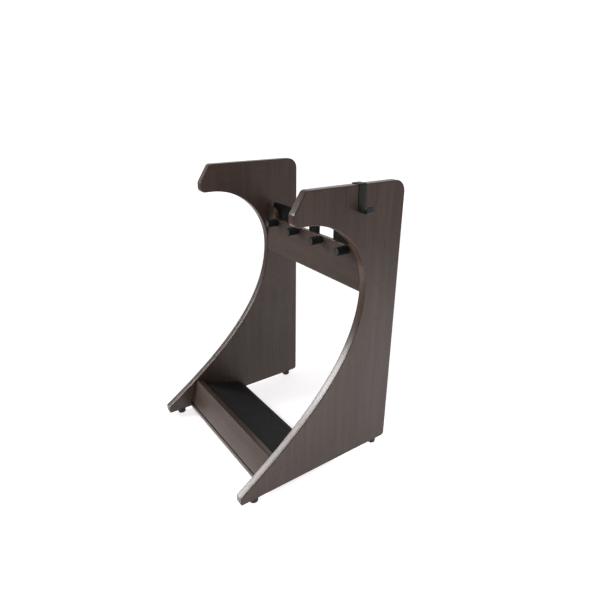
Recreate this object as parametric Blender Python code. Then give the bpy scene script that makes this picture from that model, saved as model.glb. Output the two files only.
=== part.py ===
"""Floor rack for three guitars: two curved side panels, a padded seat, a front board and a neck board.

Metres, +Z up, +Y towards the rack's back. The origin is on the floor, under the middle of the whole object.
Side-view places are (depth, height): depth forward of the panels' back edge, height above their bottom.
"""
import math

import bmesh
import bpy
from mathutils import Matrix, Vector

# ---------------------------------------------------------------- driving dimensions
GAP = 0.0003                    # clearance between touching pieces
PROUD = 0.001                   # how far a cutter reaches past a face that it opens
PILOT_SPARE = 0.002             # depth of a screw's hole past its tip

PANEL_HEIGHT = 0.908
PANEL_DEPTH = 0.580
PANEL_THICK = 0.027
INNER_WIDTH = 0.528             # between the two side panels
PANEL_ROUND = 0.0025            # small roundings of the rims
BOARD_ROUND = 0.0012
PAD_ROUND = 0.0020
STEEL_ROUND = 0.0004
SHARP_ANGLE = math.radians(35)  # edges that turn more than this are shaded sharp

BACK_TOP_RADIUS = 0.037         # panel outline, from the top of the back round to the nose
FOOT_CORNER_RADIUS = 0.011
NOSE_TOP = (0.3546, PANEL_HEIGHT, 0.016)
NOSE_FRONT = (0.3915, 0.8495, 0.012)
NOSE_LOWER = (0.3915, 0.8155, 0.014)
COVE_CENTRE = (0.3515, 0.5975)  # the cove under the nose is a quarter circle
COVE_RADIUS = 0.218
TOE_HEIGHT = 0.026              # the sweep below the waist ends above a short upright toe
TOE_RADIUS = 0.006
SWEEP_START_PULL = 0.240        # lengths of the sweep's end tangents
SWEEP_END_PULL = 0.215
SWEEP_END_SLOPE = 0.67

LEAN = math.radians(20.6)       # the seat falls back by this angle, and the front board leans back by it
FRONT_DEPTH = 0.495             # lower front edge of the front board
FRONT_LENGTH = 0.093            # front board, measured up its face
FRONT_THICK = 0.027
FRONT_WEDGE = 0.0055            # the front board's square-cut lower front edge stands clear of the base
SEAT_LENGTH = 0.200             # from the front board's face to the seat's back end
SEAT_THICK = 0.016
SEAT_PAD_THICK = 0.008
SEAT_PAD_DROP = 0.003           # pad surface below the front board's top edge
SEAT_PAD_BACK_MARGIN = 0.004    # seat left bare behind the pad and at each of its ends
SEAT_PAD_END_MARGIN = 0.001
SEAT_PAD_TOP = FRONT_LENGTH - SEAT_PAD_DROP
SEAT_TOP = SEAT_PAD_TOP - SEAT_PAD_THICK - GAP
BASE_THICK = 0.016
BASE_BACK_DEPTH = 0.262

NECK_FACE_DEPTH = 0.133         # front face of the neck board
NECK_THICK = 0.016
NECK_LOW = 0.576
NECK_TOP = 0.706
EAR_TOP = 0.743                 # the neck board's ends rise beside the panels
EAR_FLAT = 0.030
EAR_RADIUS = 0.030
EAR_FILLET = 0.007

PEG_X = (-0.198, -0.066, 0.066, 0.198)
PEG_HEIGHT = 0.6935
PEG_TIP_DEPTH = 0.1745
PEG_RADIUS = 0.0135
PEG_RIM = 0.003
CORE_RADIUS = 0.006
CAP_RADIUS = 0.0105
CAP_THICK = 0.003
PEG_SCREW_RADIUS = 0.002
PEG_SCREW_LENGTH = 0.038
PEG_SCREW_HEAD = (0.0045, 0.0022)   # radius, height

REST_LOW = 0.664                # padded neck rests behind the neck board
REST_TOP = 0.756
REST_PAD_THICK = 0.010
REST_PLATE_THICK = 0.003
REST_SPANS = {"left": (-0.247, -0.108), "middle": (-0.023, 0.023), "right": (0.108, 0.247)}
REST_SCREW_X = {"left": (-0.238, -0.134), "middle": (-0.013, 0.013), "right": (0.134, 0.238)}
REST_SCREW_HEIGHT = 0.676
REST_SCREW_RADIUS = 0.0018
REST_SCREW_LENGTH = 0.024
REST_SCREW_HEAD = (0.0038, 0.0020)
REST_CLEAR_RADIUS = 0.0065      # clearance in the pads and plates for the peg screws' heads

FOOT_DEPTHS = {"front": 0.529, "back": 0.046}
FOOT_HEIGHT = 0.016
FOOT_RADIUS = 0.0150            # the feet are wider than the panels and flush with their outer faces
FOOT_TAPER = 0.0142             # radius where the foot meets the floor
FOOT_BAND = 0.0020              # height of the upright band at the foot's top
FOOT_SCREW_RADIUS = 0.0018
FOOT_SCREW_LENGTH = 0.025
FOOT_SCREW_HEAD = (0.0036, 0.0020)
FOOT_RECESS = 0.0060

HOOK_DEPTH = 0.1665             # middle of the hook's width
HOOK_WIDTH = 0.0265
HOOK_THICK = 0.0025
HOOK_REACH = 0.038              # lip's outer face, out from the panel
HOOK_TRAY_HEIGHT = 0.833        # underside of the tray
HOOK_LIP = 0.019
HOOK_RETURN = 0.045             # how far the inner leg comes down
HOOK_BEND = 0.0034              # bend radius at the middle of the metal
LINER_THICK = 0.0010
LINER_LOW_MARGIN = 0.004        # metal left bare below, above and at each side of the liner
LINER_TOP_MARGIN = 0.006
LINER_SIDE_MARGIN = 0.0015

CAM_RADIUS = 0.0075
CAM_THICK = 0.010
CAM_FROM_END = 0.024            # cam centre from the end of the board
CAM_BOLT_RADIUS = 0.003
CAM_BOLT_IN_PANEL = 0.011
CAM_BOLT_IN_CAM = 0.005
FRONT_CAM_RISE = 0.006          # above the middle of the front board's height below the seat
SEAT_CAM_PLACE = 0.095          # back along the seat from the front board's face

BACK_Y = PANEL_DEPTH / 2
CENTRE_X = -HOOK_REACH / 2      # the hook stands out on one side only, so the frame sits off centre
PANEL_X = INNER_WIDTH / 2 + PANEL_THICK / 2
BOARD_LENGTH = INNER_WIDTH - 2 * GAP

ROUND_SIDES = 20
SCREW_SIDES = 10

COLOURS = {                     # base colour, roughness, metallic
    "wood": ((0.098, 0.078, 0.070), 0.45, 0.0),
    "foam": ((0.020, 0.020, 0.021), 0.85, 0.0),
    "cap": ((0.060, 0.060, 0.063), 0.60, 0.0),
    "rubber": ((0.018, 0.018, 0.018), 0.70, 0.0),
    "black_steel": ((0.030, 0.031, 0.033), 0.40, 0.8),
    "zinc": ((0.550, 0.550, 0.540), 0.35, 1.0),
    "felt": ((0.040, 0.040, 0.042), 0.95, 0.0),
}


# ---------------------------------------------------------------- helpers
def clear_scene():
    for obj in list(bpy.data.objects):
        bpy.data.objects.remove(obj, do_unlink=True)


def material(name):
    found = bpy.data.materials.get(name)
    if found:
        return found
    colour, roughness, metallic = COLOURS[name]
    made = bpy.data.materials.new(name)
    made.use_nodes = True
    shader = made.node_tree.nodes["Principled BSDF"]
    shader.inputs["Base Color"].default_value = (*colour, 1.0)
    shader.inputs["Roughness"].default_value = roughness
    shader.inputs["Metallic"].default_value = metallic
    return made


def side_point(depth, height):
    """World (y, z) of a place given in the side view."""
    return BACK_Y - depth, FOOT_HEIGHT + height


def finish(name, bm, place, look):
    """Turns a bmesh into a placed object with its own material."""
    bmesh.ops.recalc_face_normals(bm, faces=bm.faces)
    if bm.calc_volume(signed=True) < 0:
        bmesh.ops.reverse_faces(bm, faces=bm.faces)
    mesh = bpy.data.meshes.new(name)
    bm.to_mesh(mesh)
    bm.free()
    mesh.shade_smooth()
    mesh.set_sharp_from_angle(angle=SHARP_ANGLE)
    obj = bpy.data.objects.new(name, mesh)
    bpy.context.scene.collection.objects.link(obj)
    obj.matrix_world = place
    own = material(look).copy()
    own.name = name + "_" + look
    mesh.materials.append(own)
    return obj


def as_cutter(obj):
    obj.hide_render = True
    obj.display_type = "WIRE"
    return obj


def cut(obj, cutter):
    """Subtracts a hidden cutter from an object."""
    as_cutter(cutter)
    modifier = obj.modifiers.new("cut_" + cutter.name, "BOOLEAN")
    modifier.operation = "DIFFERENCE"
    modifier.solver = "EXACT"
    modifier.object = cutter


def round_edges(obj, width, segments=2, angle=30):
    modifier = obj.modifiers.new("edges", "BEVEL")
    modifier.width = width
    modifier.segments = segments
    modifier.limit_method = "ANGLE"
    modifier.angle_limit = math.radians(angle)


def prism(name, outline, length, place, look):
    """Extrudes a local (y, z) outline along local X, centred on x = 0."""
    bm = bmesh.new()
    rows = [[bm.verts.new((x, y, z)) for y, z in outline] for x in (-length / 2, length / 2)]
    count = len(outline)
    bm.faces.new(rows[0])
    bm.faces.new(list(reversed(rows[1])))
    for i in range(count):
        j = (i + 1) % count
        bm.faces.new((rows[0][j], rows[0][i], rows[1][i], rows[1][j]))
    return finish(name, bm, place, look)


def turned(name, profile, place, look, sides=ROUND_SIDES):
    """Turns a closed or axis-ending (radius, along) profile about local Z."""
    bm = bmesh.new()
    rings = []
    for radius, along in profile:
        if radius == 0:
            rings.append([bm.verts.new((0, 0, along))])
            continue
        turn = [2 * math.pi * k / sides for k in range(sides)]
        rings.append([bm.verts.new((radius * math.cos(a), radius * math.sin(a), along)) for a in turn])
    closed = profile[0][0] != 0
    pairs = list(zip(rings, rings[1:])) + ([(rings[-1], rings[0])] if closed else [])
    for low, high in pairs:
        for k in range(sides):
            m = (k + 1) % sides
            corners = [low[k % len(low)], low[m % len(low)], high[m % len(high)], high[k % len(high)]]
            bm.faces.new(list(dict.fromkeys(corners)))
    return finish(name, bm, place, look)


def along_axis(direction, origin):
    """Placement whose local Z points along a direction."""
    turn = Vector(direction).to_track_quat("Z", "Y").to_matrix().to_4x4()
    return Matrix.Translation(origin) @ turn


def drill(obj, name, radius, length, place, sides=SCREW_SIDES):
    """Cuts a round hole from the placement's origin along its local Z."""
    profile = [(0, -GAP), (radius, -GAP), (radius, length), (0, length)]
    cut(obj, turned(name, profile, place, "zinc", sides))


def fillet(before, corner, after, radius, steps=6):
    """Points of an arc that rounds one corner of an outline."""
    corner = Vector(corner)
    to_before = (Vector(before) - corner).normalized()
    to_after = (Vector(after) - corner).normalized()
    half = to_before.angle(to_after) / 2
    reach = radius / math.tan(half)
    centre = corner + (to_before + to_after).normalized() * radius / math.sin(half)
    start = corner + to_before * reach - centre
    end = corner + to_after * reach - centre
    sweep = start.angle_signed(end)
    return [tuple(centre + Matrix.Rotation(-sweep * k / steps, 2) @ start) for k in range(steps + 1)]


def rounded_outline(corners, steps=6):
    """Outline through (a, b, radius) corners, each rounded by its radius."""
    points = []
    for i, (a, b, radius) in enumerate(corners):
        if radius == 0:
            points.append((a, b))
            continue
        before = corners[i - 1][:2]
        after = corners[(i + 1) % len(corners)][:2]
        points += fillet(before, (a, b), after, radius, steps)
    return points


# ---------------------------------------------------------------- side panels
def cove_points(steps=14):
    """Quarter circle from under the nose round to the waist."""
    turn = [math.pi / 2 * k / steps for k in range(steps + 1)]
    depth, height = COVE_CENTRE
    return [(depth - COVE_RADIUS * math.sin(a), height + COVE_RADIUS * math.cos(a)) for a in turn]


def sweep_points(steps=20):
    """Long curve from the waist down and forward to the toe."""
    start = Vector((COVE_CENTRE[0] - COVE_RADIUS, COVE_CENTRE[1]))
    end = Vector((PANEL_DEPTH, TOE_HEIGHT))
    leave = start - Vector((0, SWEEP_START_PULL))
    arrive = end + Vector((-SWEEP_END_PULL, SWEEP_END_PULL * SWEEP_END_SLOPE))
    points = []
    for k in range(1, steps + 1):
        t = k / steps
        s = 1 - t
        points.append(tuple(s**3 * start + 3 * s * s * t * leave + 3 * s * t * t * arrive + t**3 * end))
    return points


def panel_outline():
    back_bottom = fillet((PANEL_DEPTH, 0), (0, 0), (0, PANEL_HEIGHT), FOOT_CORNER_RADIUS, steps=4)
    back_top = fillet((0, 0), (0, PANEL_HEIGHT), NOSE_TOP[:2], BACK_TOP_RADIUS, steps=8)
    nose_top = fillet((0, PANEL_HEIGHT), NOSE_TOP[:2], NOSE_FRONT[:2], NOSE_TOP[2])
    nose_front = fillet(NOSE_TOP[:2], NOSE_FRONT[:2], NOSE_LOWER[:2], NOSE_FRONT[2])
    cove = cove_points()
    nose_lower = fillet(NOSE_FRONT[:2], NOSE_LOWER[:2], cove[0], NOSE_LOWER[2])
    toe = fillet((PANEL_DEPTH, TOE_HEIGHT), (PANEL_DEPTH, 0), (0, 0), TOE_RADIUS, steps=4)
    points = back_bottom + back_top + nose_top + nose_front + nose_lower + cove + sweep_points() + toe
    return [(-depth, height) for depth, height in points]


def build_panel(side, sign):
    place = Matrix.Translation((CENTRE_X + sign * PANEL_X, BACK_Y, FOOT_HEIGHT))
    panel = prism("side_panel_" + side, panel_outline(), PANEL_THICK, place, "wood")
    round_edges(panel, PANEL_ROUND)
    return panel


# ---------------------------------------------------------------- cross boards
def lean_place():
    """Local Y runs back along the seat, local Z up the front board's face."""
    y, z = side_point(FRONT_DEPTH, BASE_THICK + GAP)
    return Matrix.Translation((CENTRE_X, y, z)) @ Matrix.Rotation(-LEAN, 4, "X")


def level_cut(y):
    """Local z, in the leaning frame, of the level plane through its origin."""
    return y * math.tan(LEAN)


def build_front_board():
    outline = [(0, FRONT_WEDGE), (FRONT_WEDGE / math.tan(LEAN), FRONT_WEDGE),
               (FRONT_THICK, level_cut(FRONT_THICK)), (FRONT_THICK, FRONT_LENGTH), (0, FRONT_LENGTH)]
    board = prism("front_board", outline, BOARD_LENGTH, lean_place(), "wood")
    round_edges(board, BOARD_ROUND, segments=1)
    return board


def build_seat_board():
    front = FRONT_THICK + GAP
    low = SEAT_TOP - SEAT_THICK
    outline = [(front, low), (low / math.tan(LEAN), low), (SEAT_LENGTH, level_cut(SEAT_LENGTH)),
               (SEAT_LENGTH, SEAT_TOP), (front, SEAT_TOP)]
    return prism("seat_board", outline, BOARD_LENGTH, lean_place(), "wood")


def build_seat_pad():
    front = FRONT_THICK + 2 * GAP
    low = SEAT_TOP + GAP
    back = SEAT_LENGTH - SEAT_PAD_BACK_MARGIN
    outline = [(front, low), (back, low), (back, SEAT_PAD_TOP), (front, SEAT_PAD_TOP)]
    pad = prism("seat_pad", outline, BOARD_LENGTH - 2 * SEAT_PAD_END_MARGIN, lean_place(), "foam")
    round_edges(pad, PAD_ROUND)
    return pad


def build_base_board():
    front, low = side_point(FRONT_DEPTH, 0)
    back = side_point(BASE_BACK_DEPTH, 0)[0]
    outline = [(front, low), (back, low), (back, low + BASE_THICK), (front, low + BASE_THICK)]
    board = prism("base_board", outline, BOARD_LENGTH, Matrix.Translation((CENTRE_X, 0, 0)), "wood")
    round_edges(board, BOARD_ROUND, segments=1)
    return board


def neck_board_outline():
    """Front view (x, height): level top between the bays, rounded ears at the two ends."""
    half = BOARD_LENGTH / 2
    inner = half - EAR_FLAT - EAR_RADIUS
    corners = [(-half, NECK_LOW, 0), (-half, EAR_TOP, 0), (-inner, EAR_TOP, EAR_RADIUS),
               (-inner, NECK_TOP, EAR_FILLET), (inner, NECK_TOP, EAR_FILLET),
               (inner, EAR_TOP, EAR_RADIUS), (half, EAR_TOP, 0), (half, NECK_LOW, 0)]
    return rounded_outline(corners)


def build_neck_board():
    front_y = side_point(NECK_FACE_DEPTH, 0)[0]
    turn = Matrix.Rotation(math.radians(90), 4, "Z")
    place = Matrix.Translation((CENTRE_X, front_y + NECK_THICK / 2, FOOT_HEIGHT)) @ turn
    outline = [(-x, height) for x, height in neck_board_outline()]
    board = prism("neck_board", outline, NECK_THICK, place, "wood")
    round_edges(board, BOARD_ROUND, segments=1)
    return board


# ---------------------------------------------------------------- pegs
def build_pegs(neck_board):
    face_y = side_point(NECK_FACE_DEPTH, 0)[0] - GAP
    rear_y = face_y + 2 * GAP + NECK_THICK
    z = FOOT_HEIGHT + PEG_HEIGHT
    length = PEG_TIP_DEPTH - NECK_FACE_DEPTH - GAP
    cap_seat = length - CAP_THICK
    bore = PEG_SCREW_RADIUS + GAP
    core_end = cap_seat - GAP
    screw_hole = PEG_SCREW_LENGTH - NECK_THICK
    head_radius, head_height = PEG_SCREW_HEAD
    for number, peg_x in enumerate(PEG_X, start=1):
        root = (CENTRE_X + peg_x, face_y, z)
        out = along_axis((0, -1, 0), root)
        turned("peg_core_%d" % number,
               [(0, screw_hole), (bore, screw_hole), (bore, 0), (CORE_RADIUS, 0), (CORE_RADIUS, core_end),
                (0, core_end)], out, "zinc", SCREW_SIDES)
        rim = [(PEG_RADIUS - PEG_RIM * (1 - math.cos(a)), length - PEG_RIM * (1 - math.sin(a)))
               for a in (math.radians(45 * k) for k in range(3))]
        inner = CORE_RADIUS + GAP
        recess = CAP_RADIUS + GAP / 2
        turned("peg_sleeve_%d" % number,
               [(inner, 0), (PEG_RADIUS, 0)] + rim + [(recess, length), (recess, cap_seat - GAP),
                                                      (inner, cap_seat - GAP)], out, "foam")
        turned("peg_cap_%d" % number,
               [(0, cap_seat), (CAP_RADIUS, cap_seat), (CAP_RADIUS, length), (0, length)], out, "cap")
        into = along_axis((0, -1, 0), (CENTRE_X + peg_x, rear_y, z))
        reach = PEG_SCREW_LENGTH - 2 * GAP
        turned("peg_screw_%d" % number,
               [(0, -head_height), (head_radius, -head_height), (head_radius, 0), (PEG_SCREW_RADIUS, 0),
                (PEG_SCREW_RADIUS, reach), (0, reach)], into, "zinc", SCREW_SIDES)
        drill(neck_board, "hole_peg_%d" % number, bore, NECK_THICK + 3 * PROUD,
              along_axis((0, -1, 0), (CENTRE_X + peg_x, rear_y + PROUD, z)))


# ---------------------------------------------------------------- neck rests
def upright_slab(name, span, front_y, thick, look, edge):
    """Upright plate between two x values; its front face is at front_y."""
    x = CENTRE_X + sum(span) / 2
    place = Matrix.Translation((x, front_y, FOOT_HEIGHT))
    outline = [(0, REST_LOW), (thick, REST_LOW), (thick, REST_TOP), (0, REST_TOP)]
    slab = prism(name, outline, span[1] - span[0], place, look)
    round_edges(slab, edge)
    return slab


def build_neck_rests(neck_board):
    pad_front = side_point(NECK_FACE_DEPTH - NECK_THICK - GAP, 0)[0]
    plate_front = pad_front + REST_PAD_THICK + GAP
    plate_rear = plate_front + REST_PLATE_THICK
    z = FOOT_HEIGHT + REST_SCREW_HEIGHT
    bore = REST_SCREW_RADIUS + GAP
    head_radius, head_height = REST_SCREW_HEAD
    for side, span in REST_SPANS.items():
        pad = upright_slab("rest_pad_" + side, span, pad_front, REST_PAD_THICK, "foam", PAD_ROUND)
        plate = upright_slab("rest_plate_" + side, span, plate_front, REST_PLATE_THICK, "black_steel",
                             STEEL_ROUND)
        for number, screw_x in enumerate(REST_SCREW_X[side], start=1):
            name = "rest_screw_%s_%d" % (side, number)
            into = along_axis((0, -1, 0), (CENTRE_X + screw_x, plate_rear + GAP, z))
            turned(name,
                   [(0, -head_height), (head_radius, -head_height), (head_radius, 0), (REST_SCREW_RADIUS, 0),
                    (REST_SCREW_RADIUS, REST_SCREW_LENGTH), (0, REST_SCREW_LENGTH)],
                   into, "black_steel", SCREW_SIDES)
            start = along_axis((0, -1, 0), (CENTRE_X + screw_x, plate_rear + PROUD, z))
            depth = PROUD + REST_SCREW_LENGTH + PILOT_SPARE
            for target in (pad, plate, neck_board):
                drill(target, "hole_%s_%s" % (name, target.name), bore, depth, start)
        for peg_x in PEG_X:
            if span[0] < peg_x < span[1]:
                place = (CENTRE_X + peg_x, pad_front - PROUD, FOOT_HEIGHT + PEG_HEIGHT)
                start = along_axis((0, 1, 0), place)
                depth = plate_rear - pad_front + 2 * PROUD
                for target in (pad, plate):
                    drill(target, "clear_%s_%s" % (side, target.name), REST_CLEAR_RADIUS, depth, start)


# ---------------------------------------------------------------- feet
def build_feet(panels):
    head_radius, head_height = FOOT_SCREW_HEAD
    bore = FOOT_SCREW_RADIUS + GAP
    recess_radius = head_radius + GAP
    top = FOOT_HEIGHT - GAP
    for side, sign in (("left", -1), ("right", 1)):
        for end, depth in FOOT_DEPTHS.items():
            x = CENTRE_X + sign * (PANEL_X + PANEL_THICK / 2 - FOOT_RADIUS)
            y = side_point(depth, 0)[0]
            place = Matrix.Translation((x, y, 0))
            name = "%s_%s" % (side, end)
            turned("foot_" + name,
                   [(recess_radius, 0), (FOOT_TAPER, 0), (FOOT_RADIUS, top - FOOT_BAND), (FOOT_RADIUS, top),
                    (bore, top), (bore, FOOT_RECESS), (recess_radius, FOOT_RECESS)], place, "rubber")
            low = FOOT_RECESS - GAP - head_height
            shank = low + head_height
            tip = shank + FOOT_SCREW_LENGTH
            turned("foot_screw_" + name,
                   [(0, low), (head_radius, low), (head_radius, shank), (FOOT_SCREW_RADIUS, shank),
                    (FOOT_SCREW_RADIUS, tip), (0, tip)], place, "zinc", SCREW_SIDES)
            drill(panels[side], "hole_foot_" + name, bore, tip + GAP - FOOT_HEIGHT + PROUD,
                  Matrix.Translation((x, y, FOOT_HEIGHT - PROUD)))


# ---------------------------------------------------------------- cable hook
def hook_middle_line():
    """Local (x out, z up) corners of the bent strip; x is measured from the panel's outer face."""
    half = HOOK_THICK / 2
    inner_x = -PANEL_THICK - 2 * GAP - LINER_THICK - half
    outer_x = GAP + half
    top = PANEL_HEIGHT + GAP + half
    tray = HOOK_TRAY_HEIGHT + half
    lip_x = HOOK_REACH - half
    return [(inner_x, PANEL_HEIGHT - HOOK_RETURN), (inner_x, top), (outer_x, top), (outer_x, tray),
            (lip_x, tray), (lip_x, HOOK_TRAY_HEIGHT + HOOK_LIP)]


def bent_strip(corners, radius, thick, steps=5):
    """Closed outline of a strip that follows the corners, with rounded bends."""
    middle = [corners[0]]
    for before, corner, after in zip(corners, corners[1:], corners[2:]):
        middle += fillet(before, corner, after, radius, steps)
    middle.append(corners[-1])
    left, right = [], []
    for i, point in enumerate(middle):
        behind = Vector(middle[max(i - 1, 0)])
        ahead = Vector(middle[min(i + 1, len(middle) - 1)])
        along = (ahead - behind).normalized()
        side = Vector((-along.y, along.x)) * thick / 2
        left.append(tuple(Vector(point) + side))
        right.append(tuple(Vector(point) - side))
    return left + right[::-1]


def build_hook():
    y = side_point(HOOK_DEPTH, 0)[0]
    outer_face = CENTRE_X + PANEL_X + PANEL_THICK / 2
    joint = bpy.data.objects.new("hook_slide", None)
    bpy.context.scene.collection.objects.link(joint)
    joint.location = (outer_face, y, FOOT_HEIGHT)
    bpy.context.view_layer.update()
    turn = Matrix.Rotation(math.radians(-90), 4, "Z")
    place = joint.matrix_world @ turn
    strip = bent_strip(hook_middle_line(), HOOK_BEND, HOOK_THICK)
    hook = prism("cable_hook", strip, HOOK_WIDTH, place, "black_steel")
    round_edges(hook, STEEL_ROUND, segments=1, angle=50)

    near = -PANEL_THICK - GAP
    far = near - LINER_THICK
    low = PANEL_HEIGHT - HOOK_RETURN + LINER_LOW_MARGIN
    high = PANEL_HEIGHT - LINER_TOP_MARGIN
    liner = prism("hook_liner", [(far, low), (near, low), (near, high), (far, high)],
                  HOOK_WIDTH - 2 * LINER_SIDE_MARGIN, place, "felt")
    for piece in (hook, liner):
        piece.parent = joint
        piece.matrix_parent_inverse = joint.matrix_world.inverted()


# ---------------------------------------------------------------- cam fittings
def build_cam(name, panel, board, sign, place, thick):
    """One knock-down fitting.

    place: origin on the middle of the board's thickness at the rack's centre line, local X along the board
    and local Z out of the face that the cam is let into. thick: the board's thickness.
    """
    half = BOARD_LENGTH / 2
    cam_x = sign * (half - CAM_FROM_END)
    face = thick / 2
    centre = place @ Matrix.Translation((cam_x, 0, face - CAM_THICK - GAP))
    cam = turned("cam_" + name, [(0, 0), (CAM_RADIUS, 0), (CAM_RADIUS, CAM_THICK), (0, CAM_THICK)],
                 centre, "zinc")
    drill(board, "pocket_" + name, CAM_RADIUS + GAP, CAM_THICK + 2 * PROUD, centre, ROUND_SIDES)
    axis = (place.to_3x3() @ Vector((-sign, 0, 0))).normalized()
    start = place @ Vector((sign * (INNER_WIDTH / 2 + CAM_BOLT_IN_PANEL), 0, 0))
    tip_x = half - CAM_FROM_END + CAM_RADIUS - CAM_BOLT_IN_CAM
    length = INNER_WIDTH / 2 + CAM_BOLT_IN_PANEL - tip_x
    along = along_axis(axis, start)
    turned("cam_bolt_" + name, [(0, 0), (CAM_BOLT_RADIUS, 0), (CAM_BOLT_RADIUS, length), (0, length)],
           along, "zinc", SCREW_SIDES)
    bore = CAM_BOLT_RADIUS + GAP
    drill(panel, "panel_hole_" + name, bore, CAM_BOLT_IN_PANEL + 3 * PROUD, along)
    drill(board, "board_hole_" + name, bore, length + GAP, along)
    drill(cam, "cam_hole_" + name, bore, length + GAP, along)


def build_cams(panels, neck_board, front_board, seat_board):
    neck_y, neck_z = side_point(NECK_FACE_DEPTH - NECK_THICK / 2, (NECK_LOW + REST_LOW) / 2)
    neck = Matrix.Translation((CENTRE_X, neck_y, neck_z)) @ Matrix.Rotation(math.radians(-90), 4, "X")
    front_z = (SEAT_TOP - SEAT_THICK) / 2 + FRONT_CAM_RISE
    front = (lean_place() @ Matrix.Translation((0, FRONT_THICK / 2, front_z))
             @ Matrix.Rotation(math.radians(-90), 4, "X"))
    seat = (lean_place() @ Matrix.Translation((0, SEAT_CAM_PLACE, SEAT_TOP - SEAT_THICK / 2))
            @ Matrix.Rotation(math.radians(180), 4, "X"))
    for side, sign in (("left", -1), ("right", 1)):
        build_cam("neck_" + side, panels[side], neck_board, sign, neck, NECK_THICK)
        build_cam("front_" + side, panels[side], front_board, sign, front, FRONT_THICK)
        build_cam("seat_" + side, panels[side], seat_board, sign, seat, SEAT_THICK)


# ---------------------------------------------------------------- assembly
def main():
    clear_scene()
    panels = {"left": build_panel("left", -1), "right": build_panel("right", 1)}
    neck_board = build_neck_board()
    front_board = build_front_board()
    seat_board = build_seat_board()
    build_seat_pad()
    build_base_board()
    build_pegs(neck_board)
    build_neck_rests(neck_board)
    build_feet(panels)
    build_hook()
    build_cams(panels, neck_board, front_board, seat_board)


main()
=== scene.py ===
"""Looks of a floor rack for three guitars: wood-grain laminate panels and boards, foam-covered neck pegs and
rests, a foam seat pad, rubber feet, screws, cam fittings and a bent steel cable hook.

Metres, +Z up, +Y towards the rack's back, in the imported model's frame. Each piece is built where it belongs.
"""
import math

import bmesh
import bpy
from mathutils import Matrix, Vector, noise


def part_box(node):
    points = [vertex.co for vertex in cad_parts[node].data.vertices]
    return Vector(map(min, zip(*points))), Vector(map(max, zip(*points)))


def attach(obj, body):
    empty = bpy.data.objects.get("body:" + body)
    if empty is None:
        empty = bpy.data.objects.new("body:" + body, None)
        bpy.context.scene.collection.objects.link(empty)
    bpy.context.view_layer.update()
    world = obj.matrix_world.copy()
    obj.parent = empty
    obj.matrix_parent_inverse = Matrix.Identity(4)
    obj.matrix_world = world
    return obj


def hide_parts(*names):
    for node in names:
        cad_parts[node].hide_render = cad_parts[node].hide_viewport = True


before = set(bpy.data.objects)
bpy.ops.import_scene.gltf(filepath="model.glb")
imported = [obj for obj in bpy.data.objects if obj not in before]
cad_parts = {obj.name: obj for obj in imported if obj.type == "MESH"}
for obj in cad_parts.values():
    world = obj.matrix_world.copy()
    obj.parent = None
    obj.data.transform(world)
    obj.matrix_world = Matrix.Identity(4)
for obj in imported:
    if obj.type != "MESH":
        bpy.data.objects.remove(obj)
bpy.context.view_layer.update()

# ---- camera
CAMERA_PLACE = (1.272, -0.7888, 1.1564)
CAMERA_YAW = math.radians(53.552)  # to the left of +Y
CAMERA_PITCH = math.radians(22.613)  # below the horizon
CAMERA_ROLL = math.radians(0.900)
CAMERA_LENS = 29.08
CAMERA_SHIFT = (-0.0092, -0.0146)

# ---- places read from the frame
PANEL_LOW, PANEL_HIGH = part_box("side_panel_right")
FOOT_HEIGHT = PANEL_LOW.z
BACK_Y = PANEL_HIGH.y
PANEL_HEIGHT = PANEL_HIGH.z - PANEL_LOW.z
PANEL_DEPTH = PANEL_HIGH.y - PANEL_LOW.y
BOARD_LOW, BOARD_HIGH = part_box("front_board")
CENTRE_X = (BOARD_LOW.x + BOARD_HIGH.x) / 2
GAP = 0.0003  # clearance between touching pieces

# ---- driving dimensions
# Places on a panel are (depth forward of its back edge, height above its bottom, radius of the corner there).
BACK_TOP_RADIUS = 0.037
FOOT_CORNER_RADIUS = 0.011
NOSE_TOP = (0.3546, PANEL_HEIGHT, 0.016)
NOSE_FRONT = (0.3915, 0.8495, 0.012)
NOSE_LOWER = (0.3915, 0.8155, 0.014)
LONGEST_RUN = 0.030  # a straight stretch of an outline is split past this
COVE_CENTRE = (0.3515, 0.5975)
COVE_RADIUS = 0.218
TOE_HEIGHT = 0.026
TOE_RADIUS = 0.006
SWEEP_START_PULL = 0.240
SWEEP_END_PULL = 0.215
SWEEP_END_SLOPE = 0.67
COVE_STEPS = 48
SWEEP_STEPS = 72
PANEL_RIM = 0.0019  # rounding of the panels' rims
FACE_INSET = 1.6  # a slab's flat face starts this many rim radii in from its outline

LEAN = math.radians(20.6)
FRONT_DEPTH = 0.495
FRONT_LENGTH = 0.093
FRONT_THICK = 0.027
FRONT_WEDGE = 0.0055  # height of the square cut along the front board's lower edge
FRONT_ROUND = 0.0020
SEAT_LENGTH = 0.200
SEAT_THICK = 0.016
SEAT_ROUND = 0.0010
SEAT_PAD_THICK = 0.008
SEAT_PAD_TOP = FRONT_LENGTH - 0.003
SEAT_TOP = SEAT_PAD_TOP - SEAT_PAD_THICK - GAP
SEAT_PAD_MARGIN = 0.002  # what the foam leaves free of the seat's width
SEAT_PAD_BACK = 0.004  # and of its back edge
SEAT_PAD_ROUND = 0.0032
SEAT_PAD_SINK = 0.0007  # how far the foam's middle is pressed down
BASE_THICK = 0.016
BASE_ROUND = 0.0018
BOARD_STEPS = 5  # steps in a board's rounded edge
GRAIN_STARTS = {"panel": 0.83, "front": 0.31, "seat": 1.37, "base": 2.11, "neck": 2.9}
RIM_GRAIN = 3  # how far the rims' grain map lies from the faces'
END_GRAIN = 7  # and that of the boards' ends

NECK_ROUND = 0.0013
EAR_FLAT = 0.030
EAR_RADIUS = 0.030
EAR_FILLET = 0.007
NECK_TOP = 0.706

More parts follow.
